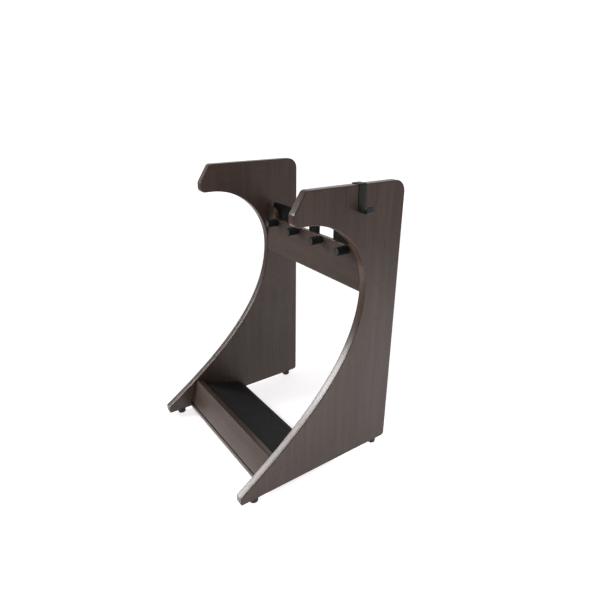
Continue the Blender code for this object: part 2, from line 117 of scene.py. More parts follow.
# Turned shapes have tables of steps: (distance in or out, depth or height), measured as each comment says.
SLEEVE_RIM = 0.0032  # rounding of a foam sleeve's end
SLEEVE_BACK = ((0.0010, 0), (0.0003, 0.0003), (0, 0.0012))  # in from the wall, forward of the board
CAP_RIM = 0.0009
CAP_STEPS = ((0.0019, 0), (0.0023, 0.0004))  # in from the cap's side, below its rim
CAP_DISH = (0.0032, 0.0005)  # the same, for the start of its dished face
CAP_CROWN = 0.0004
BEVEL = 0.0004  # small bevel on caps, sleeve mouths and cam discs
REST_PAD_ROUND = 0.0028
PLATE_CORNER = 0.004
PLATE_RIM = 0.0006
PEG_SCREW_CLEAR = 0.0065  # radius of the hole that lets a peg screw's head through
SMALL_SCREW_CLEAR = 0.0021
PEG_SCREW = (0.0022, 0.0020)  # head height and shank radius
SMALL_SCREW = (0.0020, 0.0018)
THREAD_PITCH = 0.0012

FOOT_TAPER = 0.0013  # how much smaller a foot's sole is than its top, in radius
FOOT_LIP = 0.0012
FOOT_TOP_ROUND = 0.0010
FOOT_RECESS = (0.0041, 0.0060)  # radius and depth of the hole for the screw's head
# out from the recess, above the floor: a bevel and a shallow ring
SOLE_STEPS = ((0, 0.0006), (0.0006, 0), (0.0020, 0), (0.0024, 0.0005), (0.0032, 0.0005), (0.0036, 0))
FOOT_GROOVES = (0.0055, 0.0090)  # heights of the grooves round a foot
GROOVE_STEPS = ((0, -0.0007), (0.0005, -0.0003), (0.0005, 0.0003), (0, 0.0007))  # in, above its middle

CAM_THICK = 0.010
# in from the disc's side, below its face: a bevel and a ring groove
CAM_STEPS = ((0, 0.0005), (0.0005, 0), (0.0011, 0), (0.0014, 0.0004), (0.0026, 0.0004), (0.0029, 0.0001))
CAM_BOLT_CLEAR = 0.0033
CAM_CROSS = (0.0017, 0.0070, 0.0028)  # width, length and depth of the recess

HOOK_THICK = 0.0025
HOOK_BEND = 0.0034
HOOK_RIM = 0.0006
HOOK_LEG = 0.045  # how far the leg on the panel's inner side reaches down
HOOK_LIP = 0.019
LINER_ROUND = 0.0004

PEGS = range(1, 5)
SIDES = ("left", "right")
REST_SIDES = ("left", "middle", "right")
ENDS = ("front", "back")


# ---- node helpers
def new_material(name):
    """A fresh material, its node tree and its Principled shader."""
    made = bpy.data.materials.new(name)
    made.use_nodes = True
    tree = made.node_tree
    return made, tree, tree.nodes["Principled BSDF"]


def add(tree, kind, **values):
    """A node of that kind; values go to its inputs by name with _ for a space, or else to its properties."""
    node = tree.nodes.new("ShaderNode" + kind)
    for key, value in values.items():
        socket = node.inputs.get(key.replace("_", " "))
        if socket is not None and not hasattr(node, key):
            socket.default_value = value
        else:
            setattr(node, key, value)
    return node


def math_node(tree, operation, a, b=None, clamp=False):
    """A Math node whose inputs are sockets or numbers."""
    node = add(tree, "Math", operation=operation, use_clamp=clamp)
    for index, value in enumerate((a, b)):
        if value is None:
            continue
        if isinstance(value, (int, float)):
            node.inputs[index].default_value = value
        else:
            tree.links.new(value, node.inputs[index])
    return node.outputs[0]


def vector_value(tree, operation, vector, other=None):
    """The number that a Vector Math node gives: a length, or a dot product with a fixed vector."""
    node = add(tree, "VectorMath", operation=operation)
    tree.links.new(vector, node.inputs[0])
    if other:
        node.inputs[1].default_value = other
    return node.outputs["Value"]


def axis_values(tree, vector):
    """The vector's three coordinates as sockets."""
    node = add(tree, "SeparateXYZ")
    tree.links.new(vector, node.inputs[0])
    return node.outputs


def object_place(tree):
    """The place on the object, in metres."""
    return add(tree, "TexCoord").outputs["Object"]


def stretched(tree, coordinates, scale):
    """The coordinates, scaled along each axis."""
    node = add(tree, "Mapping", Scale=scale)
    tree.links.new(coordinates, node.inputs["Vector"])
    return node.outputs[0]


def noise_value(tree, vector, scale, detail=2.0, rough=0.5):
    node = add(tree, "TexNoise", Scale=scale, Detail=detail, Roughness=rough)
    tree.links.new(vector, node.inputs["Vector"])
    return node.outputs["Fac"]


def remap(tree, value, low, high, to_low=0.0, to_high=1.0):
    """The value carried linearly from one range to another, and held at its ends."""
    node = add(tree, "MapRange", clamp=True, From_Min=low, From_Max=high, To_Min=to_low, To_Max=to_high)
    tree.links.new(value, node.inputs["Value"])
    return node.outputs[0]


def mix_colour(tree, share, first, second, blend="MIX"):
    """Mixes two colours, each a socket or an RGB tuple, by a share that is a socket or a number."""
    node = add(tree, "Mix", data_type="RGBA", blend_type=blend)
    for socket, value in ((node.inputs[0], share), (node.inputs[6], first), (node.inputs[7], second)):
        if isinstance(value, (int, float)):
            socket.default_value = value
        elif isinstance(value, tuple):
            socket.default_value = (*value, 1.0)
        else:
            tree.links.new(value, socket)
    return node.outputs[2]


def feed(tree, shader, name, socket):
    """Links a socket to the shader's input of that name."""
    tree.links.new(socket, shader.inputs[name])


def bump(tree, shader, height, strength, distance):
    node = add(tree, "Bump", Strength=strength, Distance=distance)
    tree.links.new(height, node.inputs["Height"])
    feed(tree, shader, "Normal", node.outputs[0])


# ---- materials
WOOD_DARK = (0.040, 0.0250, 0.0190)
WOOD_LIGHT = (0.105, 0.0685, 0.0530)
WOOD_PORE = (0.016, 0.0100, 0.0075)
# colour of the rounded rims: partly the edge band's browner tone, partly painted shade along the edges
WOOD_RIM_TONE_AND_SHADE = (0.034, 0.0190, 0.0140)
WOOD_DRIFT = 0.030  # how far the grain wanders sideways
WOOD_RELIEF = 0.0003
GLOSS_SPREAD = 0.04  # how much the wood's roughness varies either way
BAND_TINT = (1.08, 0.88, 0.76)  # the edge band is a browner strip than the laminate
# darkest and lightest colour of the rest
FOAM = ((0.0045, 0.0044, 0.0046), (0.0100, 0.0098, 0.0099))
FOAM_DUST = (0.026, 0.025, 0.025)
CAP = ((0.018, 0.018, 0.019), (0.029, 0.029, 0.030))
RUBBER = ((0.010, 0.010, 0.010), (0.018, 0.018, 0.018))
COAT = ((0.0145, 0.0143, 0.0150), (0.0205, 0.0203, 0.0211))
COAT_RUBBED = (0.085, 0.085, 0.088)
ZINC = ((0.46, 0.47, 0.48), (0.66, 0.65, 0.62))
FELT = ((0.018, 0.018, 0.019), (0.055, 0.055, 0.058))


def wood_material(name, rough, specular, relief_strength, unevenness=1.0, tint=(1.0, 1.0, 1.0)):
    """Dark walnut laminate. The grain map's V runs along the grain and U across it, both in metres.

    relief_strength: of the fibres' bump. unevenness: share of the laminate's own variation in gloss.
    """
    dark, light = [tuple(a * b for a, b in zip(colour, tint)) for colour in (WOOD_DARK, WOOD_LIGHT)]
    made, tree, shader = new_material(name)
    grain = add(tree, "UVMap", uv_map="grain").outputs[0]

    def layer(vector, across, along, detail, rough_share=0.5):
        """Noise with that many cycles in a metre across the grain and along it."""
        return noise_value(tree, stretched(tree, vector, (across, along, 1.0)), 1.0, detail, rough_share)

    drift = layer(grain, 6.0, 1.6, 3.0)
    across, along = axis_values(tree, grain)[:2]
    whole = add(tree, "CombineXYZ")
    moved = math_node(tree, "MULTIPLY", drift, WOOD_DRIFT)
    tree.links.new(math_node(tree, "ADD", across, moved), whole.inputs[0])
    tree.links.new(along, whole.inputs[1])
    wandering = whole.outputs[0]

    figure = layer(wandering, 34.0, 1.1, 3.0, 0.55)
    streaks = layer(wandering, 260.0, 5.0, 4.0, 0.62)
    fibres = layer(wandering, 1500.0, 26.0, 2.0)
    pores = layer(wandering, 900.0, 34.0, 1.0)
    cloud = layer(grain, 4.5, 1.8, 2.0)
    flecks = layer(wandering, 95.0, 17.0, 1.0)

    shares = [math_node(tree, "MULTIPLY", remap(tree, value, low, 1 - low), share)
              for value, low, share in ((figure, 0.30, 0.42), (streaks, 0.28, 0.36), (fibres, 0.25, 0.22))]
    tone = math_node(tree, "ADD", math_node(tree, "ADD", shares[0], shares[1]), shares[2])
    colour = mix_colour(tree, tone, dark, light)
    pore_share = remap(tree, pores, 0.60, 0.72, 0.0, 0.55)
    colour = mix_colour(tree, pore_share, colour, WOOD_PORE)
    shade = math_node(tree, "MULTIPLY", remap(tree, cloud, 0.30, 0.72, 0.86, 1.14),
                      remap(tree, flecks, 0.66, 0.80, 1.0, 0.62))
    shade_rgb = add(tree, "CombineColor")
    for index in range(3):
        tree.links.new(shade, shade_rgb.inputs[index])
    colour = mix_colour(tree, 1.0, colour, shade_rgb.outputs[0], "MULTIPLY")

    # Darker rounded rims, in patches: partly the edge band's browner tone, partly painted shade along every
    # edge.
    rim = add(tree, "Attribute", attribute_name="rim").outputs["Fac"]
    rim_darkening_noise = noise_value(tree, object_place(tree), 9.0, 3.0)
    rim_tone_and_shade = math_node(tree, "MULTIPLY", rim, remap(tree, rim_darkening_noise, 0.35, 0.68, 0.45, 0.85), clamp=True)
    colour = mix_colour(tree, rim_tone_and_shade, colour, WOOD_RIM_TONE_AND_SHADE)
    feed(tree, shader, "Base Color", colour)

    smudge = noise_value(tree, object_place(tree), 7.0, 3.0)
    spread = GLOSS_SPREAD * unevenness
    fine = spread * unevenness
    streaky = remap(tree, streaks, 0.3, 0.7, rough - fine, rough + fine)
    uneven = math_node(tree, "ADD", streaky, remap(tree, smudge, 0.35, 0.68, -spread, spread))
    feed(tree, shader, "Roughness", uneven)
    relief = math_node(tree, "SUBTRACT", math_node(tree, "MULTIPLY", fibres, 0.6), pore_share)
    bump(tree, shader, relief, relief_strength, WOOD_RELIEF)
    shader.inputs["Specular IOR Level"].default_value = specular
    return made


def foam_material():
    """Closed-cell black foam: fine cells, dusty high spots and soft dull sheen."""
    made, tree, shader = new_material("black_foam")
    place = object_place(tree)
    cells = add(tree, "TexVoronoi", Scale=1500.0)
    tree.links.new(place, cells.inputs["Vector"])
    grit = noise_value(tree, place, 700.0, 3.0, 0.6)
    patch = noise_value(tree, place, 24.0, 4.0)
    colour = mix_colour(tree, remap(tree, patch, 0.32, 0.72), *FOAM)
    colour = mix_colour(tree, remap(tree, grit, 0.55, 0.78, 0.0, 0.4), colour, FOAM_DUST)
    feed(tree, shader, "Base Color", colour)
    feed(tree, shader, "Roughness", remap(tree, grit, 0.3, 0.7, 0.66, 0.86))
    shader.inputs["Specular IOR Level"].default_value = 0.22
    shader.inputs["Sheen Weight"].default_value = 0.03
    shader.inputs["Sheen Roughness"].default_value = 0.5
    height = math_node(tree, "ADD", cells.outputs["Distance"], math_node(tree, "MULTIPLY", grit, 0.8))
    bump(tree, shader, height, 0.5, 0.0003)
    return made


def moulded_material(name, colours, rough):
    """Moulded rubber or plastic with a spark-eroded texture."""
    made, tree, shader = new_material(name)
    place = object_place(tree)
    grit = noise_value(tree, place, 900.0, 3.0, 0.6)
    patch = noise_value(tree, place, 35.0, 3.0)
    feed(tree, shader, "Base Color", mix_colour(tree, remap(tree, patch, 0.3, 0.7), *colours))
    feed(tree, shader, "Roughness", remap(tree, grit, 0.3, 0.7, rough - 0.07, rough + 0.07))
    bump(tree, shader, grit, 0.3, 0.0002)
    return made


def powder_coat_material():
    """Satin black powder coat on steel, with orange peel and faintly rubbed edges."""
    made, tree, shader = new_material("black_powder_coat")
    place = object_place(tree)
    peel = noise_value(tree, place, 420.0, 2.0)
    patch = noise_value(tree, place, 30.0, 4.0)
    rim = add(tree, "Attribute", attribute_name="rim").outputs["Fac"]
    colour = mix_colour(tree, remap(tree, patch, 0.3, 0.7), *COAT)
    rubbed = math_node(tree, "MULTIPLY", rim, remap(tree, patch, 0.45, 0.62, 0.0, 0.55), clamp=True)
    colour = mix_colour(tree, rubbed, colour, COAT_RUBBED)
    feed(tree, shader, "Base Color", colour)
    feed(tree, shader, "Roughness", remap(tree, peel, 0.3, 0.7, 0.36, 0.48))
    shader.inputs["Specular IOR Level"].default_value = 0.36
    bump(tree, shader, peel, 0.22, 0.0003)
    return made


def zinc_material():
    """Zinc-plated steel with a faint bluish mottle."""
    made, tree, shader = new_material("zinc_plate")
    place = object_place(tree)
    mottle = noise_value(tree, place, 260.0, 4.0, 0.6)
    fine = noise_value(tree, place, 1400.0, 2.0)
    feed(tree, shader, "Base Color", mix_colour(tree, remap(tree, mottle, 0.3, 0.7), *ZINC))
    feed(tree, shader, "Roughness", remap(tree, mottle, 0.3, 0.7, 0.26, 0.42))
    shader.inputs["Metallic"].default_value = 1.0
    bump(tree, shader, fine, 0.12, 0.0001)
    return made


def felt_material():
    """Dark felt: matted fibres."""
    made, tree, shader = new_material("dark_felt")
    place = object_place(tree)
    matted = noise_value(tree, stretched(tree, place, (900.0, 500.0, 700.0)), 1.0, 5.0, 0.7)
    feed(tree, shader, "Base Color", mix_colour(tree, remap(tree, matted, 0.35, 0.68), *FELT))
    shader.inputs["Roughness"].default_value = 0.95
    shader.inputs["Sheen Weight"].default_value = 0.25
    bump(tree, shader, matted, 0.8, 0.0004)
    return made


EDGE_BAND = wood_material("walnut_edge_band", rough=0.29, specular=0.52, relief_strength=0.001,
                          unevenness=0.3, tint=BAND_TINT)
MATERIALS = {
    "wood": wood_material("walnut_laminate", rough=0.37, specular=0.38, relief_strength=0.22),
    "foam": foam_material(),
    "cap": moulded_material("grey_cap", CAP, 0.55),
    "rubber": moulded_material("black_rubber", RUBBER, 0.62),
    "black_steel": powder_coat_material(),
    "zinc": zinc_material(),
    "felt": felt_material(),
}


# ---- mesh helpers
def middle(node):
    """Middle of a CAD node's box, as x, y and z."""
    low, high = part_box(node)
    return [(a + b) / 2 for a, b in zip(low, high)]


def upright(x, y, z):
    """Placement that sends local a along X, local b up and local c along Y."""
    return Matrix(((1, 0, 0, x), (0, 0, 1, y), (0, 1, 0, z), (0, 0, 0, 1)))


def new_object(name, data):
    """An object in the scene with that mesh, lamp or camera."""
    made = bpy.data.objects.new(name, data)
    bpy.context.scene.collection.objects.link(made)
    return made


def mesh_object(name, bm):
    """The bmesh as an object in the scene."""
    mesh = bpy.data.meshes.new(name)
    bm.to_mesh(mesh)
    bm.free()
    return new_object(name, mesh)


def into_piece(name, bm, slot, node, body="rack", sharp=40):
    """Turns a bmesh in frame coordinates into a finished piece that stands for a CAD node."""
    bmesh.ops.recalc_face_normals(bm, faces=bm.faces)
    if bm.calc_volume(signed=True) < 0:
        bmesh.ops.reverse_faces(bm, faces=bm.faces)
    piece = mesh_object(name, bm)
    mesh = piece.data
    mesh.shade_smooth()
    mesh.set_sharp_from_angle(angle=math.radians(sharp))
    mesh.materials.append(MATERIALS[slot])
    if slot == "wood":
        mesh.materials.append(EDGE_BAND)
    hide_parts(node)
    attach(piece, body)
    return piece


def fillet(before, corner, after, radius, steps):
    """Points of an arc that rounds one corner of an outline."""
    corner = Vector(corner)
    to_before = (Vector(before) - corner).normalized()
    to_after = (Vector(after) - corner).normalized()
    half = to_before.angle(to_after) / 2
    reach = radius / math.tan(half)
    centre = corner + (to_before + to_after).normalized() * radius / math.sin(half)
    start = corner + to_before * reach - centre
    end = corner + to_after * reach - centre
    sweep = start.angle_signed(end)
    return [tuple(centre + Matrix.Rotation(-sweep * k / steps, 2) @ start) for k in range(steps + 1)]


def rounded_outline(corners, steps=8):
    """Outline through (a, b, radius) corners, each rounded by its radius."""
    points = []
    for i, (a, b, radius) in enumerate(corners):
        before = corners[i - 1][:2]
        after = corners[(i + 1) % len(corners)][:2]
        points += fillet(before, (a, b), after, radius, steps) if radius else [(a, b)]
    return points


def spaced(points, longest):
    """The closed outline with its long straight runs split, so that no run is longer than longest."""
    result = []
    for here, ahead in zip(points, points[1:] + points[:1]):
        here, ahead = Vector(here), Vector(ahead)
        count = max(1, math.ceil((ahead - here).length / longest))
        result += [here.lerp(ahead, k / count) for k in range(count)]
    return result


def travelled(points):
    """Distances along the closed outline to each point, and round to the first again."""
    travel = [0.0]
    for here, ahead in zip(points, points[1:] + points[:1]):
        travel.append(travel[-1] + (ahead - here).length)
    return travel


def inward_normals(points):
    """Unit vectors that point into the closed outline at each of its points, longer at corners."""
    area = sum(a.x * b.y - b.x * a.y for a, b in zip(points, points[1:] + points[:1]))
    turn = 1 if area > 0 else -1
    normals = []
    for before, here, ahead in zip(points[-1:] + points[:-1], points, points[1:] + points[:1]):
        first = (here - before).normalized()
        second = (ahead - here).normalized()
        bisector = Vector((-(first.y + second.y), first.x + second.x)).normalized() * turn
        lean = max(0.5, bisector.dot(Vector((-first.y, first.x)) * turn))
        normals.append(bisector / lean)
    return normals


def slab(name, outline, thick, rim, place, slot, node, grain=None, body="rack", rim_steps=5, offset=0.0):
    """A flat piece with rounded rims.

    outline: closed list of local (a, b) points. thick: along local c, about c = 0. place: local to frame.
    grain: "a" or "b", the axis that the faces' grain follows; the rim's grain follows the rim.
    offset: where the grain starts, so that no two boards look alike.
    """
    points = [Vector(p) for p in outline]
    inward = inward_normals(points)
    half = thick / 2
    turn = [math.pi / 2 * k / rim_steps for k in range(rim_steps + 1)]
    rings = [(rim * FACE_INSET, half, 0.0)]  # (inset, c, share of the rim's wear on steel, and of its browner tone and painted shade on wood)
    rings += [(rim * (1 - math.sin(a)), half - rim * (1 - math.cos(a)), math.sin(2 * a)) for a in turn]
    rings += [(inset, -c, wear_and_shade) for inset, c, wear_and_shade in reversed(rings)]

    bm = bmesh.new()
    wear_and_shade_layer = bm.verts.layers.float.new("rim")
    grain_layer = bm.loops.layers.uv.new("grain")
    travel = travelled(points)
    rows = []
    for inset, c, wear_and_shade in rings:
        row = []
        for point, normal in zip(points, inward):
            a, b = point + normal * inset
            vert = bm.verts.new(place @ Vector((a, b, c)))
            vert[wear_and_shade_layer] = wear_and_shade
            row.append((vert, a, b, c))
        rows.append(row)

    def face_map(a, b, c):
        return (a + offset, b + c) if grain == "b" else (b + offset, a + c)

    count = len(points)
    last = len(rows) - 1
    for index, ordered in ((0, rows[0]), (last, rows[last][::-1])):
        face = bm.faces.new([entry[0] for entry in ordered])
        for loop, (_, a, b, c) in zip(face.loops, ordered):
            loop[grain_layer].uv = face_map(a, b, 2 * index * thick)
    for r, (low, high) in enumerate(zip(rows, rows[1:])):
        on_face = r in (0, last - 1)
        for i in range(count):
            j = (i + 1) % count
            corners = (low[i], low[j], high[j], high[i])
            face = bm.faces.new([entry[0] for entry in corners])
            face.material_index = 0 if on_face or slot != "wood" else 1
            along = (travel[i], travel[i + 1], travel[i + 1], travel[i])
            across = (r, r, r + 1, r + 1)
            for loop, (_, a, b, c), v, ring in zip(face.loops, corners, along, across):
                if on_face:
                    loop[grain_layer].uv = face_map(a, b, 2 * (last if r else 0) * thick)
                else:
                    loop[grain_layer].uv = (rings[ring][1] + ring * rim / rim_steps + RIM_GRAIN + offset, v)
    return into_piece(name, bm, slot, node, body)


def beam(name, section, half, place, node, radius, offset):
    """A board with the given local (y, z) section, from x = -half to half, rounded along its long edges.

    Its grain runs along X. offset: where the grain starts.
    """
    outline = [Vector(p) for p in rounded_outline([(y, z, radius) for y, z in section], BOARD_STEPS)]
    bm = bmesh.new()
    wear_and_shade_layer = bm.verts.layers.float.new("rim")
    grain_layer = bm.loops.layers.uv.new("grain")
    travel = travelled(outline)
    rows = []
    for x in (-half, half):
        row = []
        for i, point in enumerate(outline):
            vert = bm.verts.new(place @ Vector((x, point.x, point.y)))
            vert[wear_and_shade_layer] = math.sin(math.pi * (i % (BOARD_STEPS + 1)) / BOARD_STEPS)
            row.append(vert)
        rows.append(row)
    for row, order in ((rows[0], outline), (rows[1][::-1], outline[::-1])):
        face = bm.faces.new(row)
        for loop, point in zip(face.loops, order):
            loop[grain_layer].uv = (point.x * 0.2 + END_GRAIN + offset, point.y)
    count = len(outline)
    for i in range(count):
        j = (i + 1) % count
        face = bm.faces.new((rows[0][i], rows[0][j], rows[1][j], rows[1][i]))
        uvs = ((travel[i], -half), (travel[i + 1], -half), (travel[i + 1], half), (travel[i], half))
        for loop, (u, v) in zip(face.loops, uvs):
            loop[grain_layer].uv = (u + offset, v)
    return into_piece(name, bm, "wood", node, sharp=30)


def turned(name, profile, place, slot, node, sides=64, shape=None, sharp=40):
    """A closed (radius, along) profile turned about local Z. shape: moves each local point, if given."""
    return into_piece(name, turned_mesh(profile, place, sides, shape), slot, node, sharp=sharp)


def turned_mesh(profile, place, sides, shape=None):
    """The bmesh of a turned profile; one that starts off the axis is a ring, closed on itself."""
    bm = bmesh.new()
    rings = []
    for radius, along in profile:
        if radius == 0:
            rings.append([bm.verts.new(place @ Vector((0, 0, along)))])
            continue
        ring = []
        for k in range(sides):
            angle = 2 * math.pi * k / sides
            point = Vector((radius * math.cos(angle), radius * math.sin(angle), along))
            ring.append(bm.verts.new(place @ (shape(point) if shape else point)))
        rings.append(ring)
    closed = profile[0][0] != 0
    pairs = list(zip(rings, rings[1:])) + ([(rings[-1], rings[0])] if closed else [])
    for low, high in pairs:
        for k in range(sides):
            m = (k + 1) % sides
            corners = [low[k % len(low)], low[m % len(low)], high[m % len(high)], high[k % len(high)]]
            bm.faces.new(list(dict.fromkeys(corners)))
    return bm


def arc(centre, radius, start, end, steps):
    """Points of an arc in a profile, angles in degrees from the radius axis."""
    turn = [math.radians(start + (end - start) * k / steps) for k in range(steps + 1)]
    return [(centre[0] + radius * math.cos(a), centre[1] + radius * math.sin(a)) for a in turn]


def along_axis(axis, start):
    """Placement whose local Z follows axis from start."""
    return Matrix.Translation(start) @ Vector(axis).to_track_quat("Z", "Y").to_matrix().to_4x4()


def axis_lines(size, band, middle_step, band_steps=4):
    """Grid positions from -size / 2 to size / 2, close together within band of each end."""
    half = size / 2
    edge = [half - band * (1 - math.sin(math.pi / 2 * k / band_steps)) for k in range(band_steps + 1)]
    inner = half - band
    count = max(1, round(2 * inner / middle_step))
    between = [-inner + 2 * inner * k / count for k in range(1, count)]
    return [-e for e in reversed(edge)] + between + edge


def block(size, radius, step):
    """A closed bmesh box with rounded edges, gridded so that its faces can be shaped."""
    lines = [axis_lines(extent, min(radius, extent / 2 - 1e-6), step) for extent in size]
    bm = bmesh.new()
    verts = {}

    def vert(key):
        if key not in verts:
            verts[key] = bm.verts.new([lines[axis][key[axis]] for axis in range(3)])
        return verts[key]

    for axis in range(3):
        first, second = [k for k in range(3) if k != axis]
        for end in (0, len(lines[axis]) - 1):
            for i in range(len(lines[first]) - 1):
                for j in range(len(lines[second]) - 1):
                    keys = []
                    for di, dj in ((0, 0), (1, 0), (1, 1), (0, 1)):
                        key = [0, 0, 0]
                        key[axis] = end
                        key[first] = i + di
                        key[second] = j + dj
                        keys.append(tuple(key))
                    bm.faces.new([vert(key) for key in keys])
    inner = [extent / 2 - radius for extent in size]
    for v in bm.verts:
        core = Vector([max(-limit, min(limit, x)) for x, limit in zip(v.co, inner)])
        out = v.co - core
        if out.length > 1e-9:
            v.co = core + out.normalized() * radius
    return bm


def cylinder_cutter(axis, start, radius, length, sides):
    profile = [(0, 0), (radius, 0), (radius, length), (0, length)]
    return turned_mesh(profile, along_axis(axis, start), sides)


def cut_out(piece, cutters):
    """Subtracts the cutter bmeshes from the piece and keeps the result as the piece's own mesh."""
    made = []
    for bm in cutters:
        bmesh.ops.recalc_face_normals(bm, faces=bm.faces)
        cutter = mesh_object("cutter", bm)
        modifier = piece.modifiers.new("cut", "BOOLEAN")
        modifier.operation = "DIFFERENCE"
        modifier.object = cutter
        made.append(cutter)
    bpy.context.view_layer.update()
    result = bpy.data.meshes.new_from_object(piece.evaluated_get(bpy.context.evaluated_depsgraph_get()))
    result.name = piece.name
    piece.modifiers.clear()
    piece.data = result
    result.set_sharp_from_angle(angle=math.radians(40))
    for cutter in made:
        bpy.data.objects.remove(cutter, do_unlink=True)


# ---- side panels
def panel_outline():
    """Closed (depth, height) outline of a side panel."""
    cove_depth, cove_height = COVE_CENTRE
    cove = [(cove_depth - COVE_RADIUS * math.sin(a), cove_height + COVE_RADIUS * math.cos(a))
            for a in (math.pi / 2 * k / COVE_STEPS for k in range(COVE_STEPS + 1))]
    start = Vector((cove_depth - COVE_RADIUS, cove_height))
    end = Vector((PANEL_DEPTH, TOE_HEIGHT))
    leave = start - Vector((0, SWEEP_START_PULL))
    arrive = end + Vector((-SWEEP_END_PULL, SWEEP_END_PULL * SWEEP_END_SLOPE))
    sweep = []
    for k in range(1, SWEEP_STEPS + 1):
        t = k / SWEEP_STEPS
        s = 1 - t
        sweep.append(tuple(s**3 * start + 3 * s * s * t * leave + 3 * s * t * t * arrive + t**3 * end))
    points = fillet((PANEL_DEPTH, 0), (0, 0), (0, PANEL_HEIGHT), FOOT_CORNER_RADIUS, 8)
    points += fillet((0, 0), (0, PANEL_HEIGHT), NOSE_TOP[:2], BACK_TOP_RADIUS, 20)
    points += fillet((0, PANEL_HEIGHT), NOSE_TOP[:2], NOSE_FRONT[:2], NOSE_TOP[2], 10)
    points += fillet(NOSE_TOP[:2], NOSE_FRONT[:2], NOSE_LOWER[:2], NOSE_FRONT[2], 8)
    points += fillet(NOSE_FRONT[:2], NOSE_LOWER[:2], cove[0], NOSE_LOWER[2], 10)
    points += cove + sweep
    points += fillet((PANEL_DEPTH, TOE_HEIGHT), (PANEL_DEPTH, 0), (0, 0), TOE_RADIUS, 8)
    return points


def build_panels():
    outline = spaced(panel_outline(), LONGEST_RUN)
    for number, side in enumerate(SIDES):
        node = "side_panel_" + side
        low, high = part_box(node)
        place = Matrix(((0, 0, 1, middle(node)[0]), (-1, 0, 0, BACK_Y), (0, 1, 0, FOOT_HEIGHT), (0, 0, 0, 1)))
        slab("panel_" + side, outline, high.x - low.x, PANEL_RIM, place, "wood", node, grain="b",
             offset=GRAIN_STARTS["panel"] * number)


# ---- boards
def lean_place():
    """Local Y runs back along the seat, local Z up the front board's face."""
    start = (CENTRE_X, BACK_Y - FRONT_DEPTH, FOOT_HEIGHT + (BASE_THICK + GAP))
    return Matrix.Translation(start) @ Matrix.Rotation(-LEAN, 4, "X")


def build_boards():
    half = (BOARD_HIGH.x - BOARD_LOW.x) / 2
    tilt = math.tan(LEAN)
    front = [(0, FRONT_WEDGE), (FRONT_WEDGE / tilt, FRONT_WEDGE), (FRONT_THICK, FRONT_THICK * tilt),
             (FRONT_THICK, FRONT_LENGTH), (0, FRONT_LENGTH)]
    beam("front_rail", front, half, lean_place(), "front_board", FRONT_ROUND, GRAIN_STARTS["front"])

    near = FRONT_THICK + GAP
    under = SEAT_TOP - SEAT_THICK
    seat = [(near, under), (under / tilt, under), (SEAT_LENGTH, SEAT_LENGTH * tilt), (SEAT_LENGTH, SEAT_TOP),
            (near, SEAT_TOP)]
    beam("seat_deck", seat, half, lean_place(), "seat_board", SEAT_ROUND, GRAIN_STARTS["seat"])

    low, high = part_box("base_board")
    base = [(low.y, low.z), (high.y, low.z), (high.y, high.z), (low.y, high.z)]
    beam("base_shelf", base, half, Matrix.Translation((CENTRE_X, 0, 0)), "base_board", BASE_ROUND,
         GRAIN_STARTS["base"])

    low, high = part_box("neck_board")
    top = high.z - FOOT_HEIGHT
    bottom = low.z - FOOT_HEIGHT
    inner = half - EAR_FLAT - EAR_RADIUS
    corners = [(-half, bottom, 0), (-half, top, 0), (-inner, top, EAR_RADIUS),
               (-inner, NECK_TOP, EAR_FILLET), (inner, NECK_TOP, EAR_FILLET), (inner, top, EAR_RADIUS),
               (half, top, 0), (half, bottom, 0)]
    outline = spaced(rounded_outline(corners), LONGEST_RUN)
    place = upright(CENTRE_X, middle("neck_board")[1], FOOT_HEIGHT)
    slab("neck_rail", outline, high.y - low.y, NECK_ROUND, place, "wood", "neck_board", grain="a",
         offset=GRAIN_STARTS["neck"])


# ---- foam
def foam_ripple(point, seed, scale, depth):
    """A small smooth height that varies over the foam's surface."""
    return depth * noise.noise(Vector(point) * scale + Vector((seed, 2 * seed, 3 * seed)))


def build_seat_foam():
    """Foam sheet on the seat: rounded rims and a slightly uneven top that sinks a little along its middle."""
    near = FRONT_THICK + 2 * GAP
    far = SEAT_LENGTH - SEAT_PAD_BACK
    low = SEAT_TOP + GAP
    size = (BOARD_HIGH.x - BOARD_LOW.x - SEAT_PAD_MARGIN, far - near, SEAT_PAD_TOP - low)
    bm = block(size, SEAT_PAD_ROUND, step=0.006)
    for vert in bm.verts:
        if vert.co.z <= 0:
            continue
        height = vert.co.z / (size[2] / 2)
        across = abs(vert.co.y) / (size[1] / 2)
        sink = SEAT_PAD_SINK * (1 - across * across)
        ripple = (foam_ripple(vert.co, seed=3.1, scale=28.0, depth=0.00035)
                  + foam_ripple(vert.co, seed=8.4, scale=90.0, depth=0.00012))
        vert.co.z += height * (min(ripple, 0.0002) - sink)
    bm.transform(lean_place() @ Matrix.Translation((0, (near + far) / 2, (low + SEAT_PAD_TOP) / 2)))
    piece = into_piece("seat_foam", bm, "foam", "seat_pad")


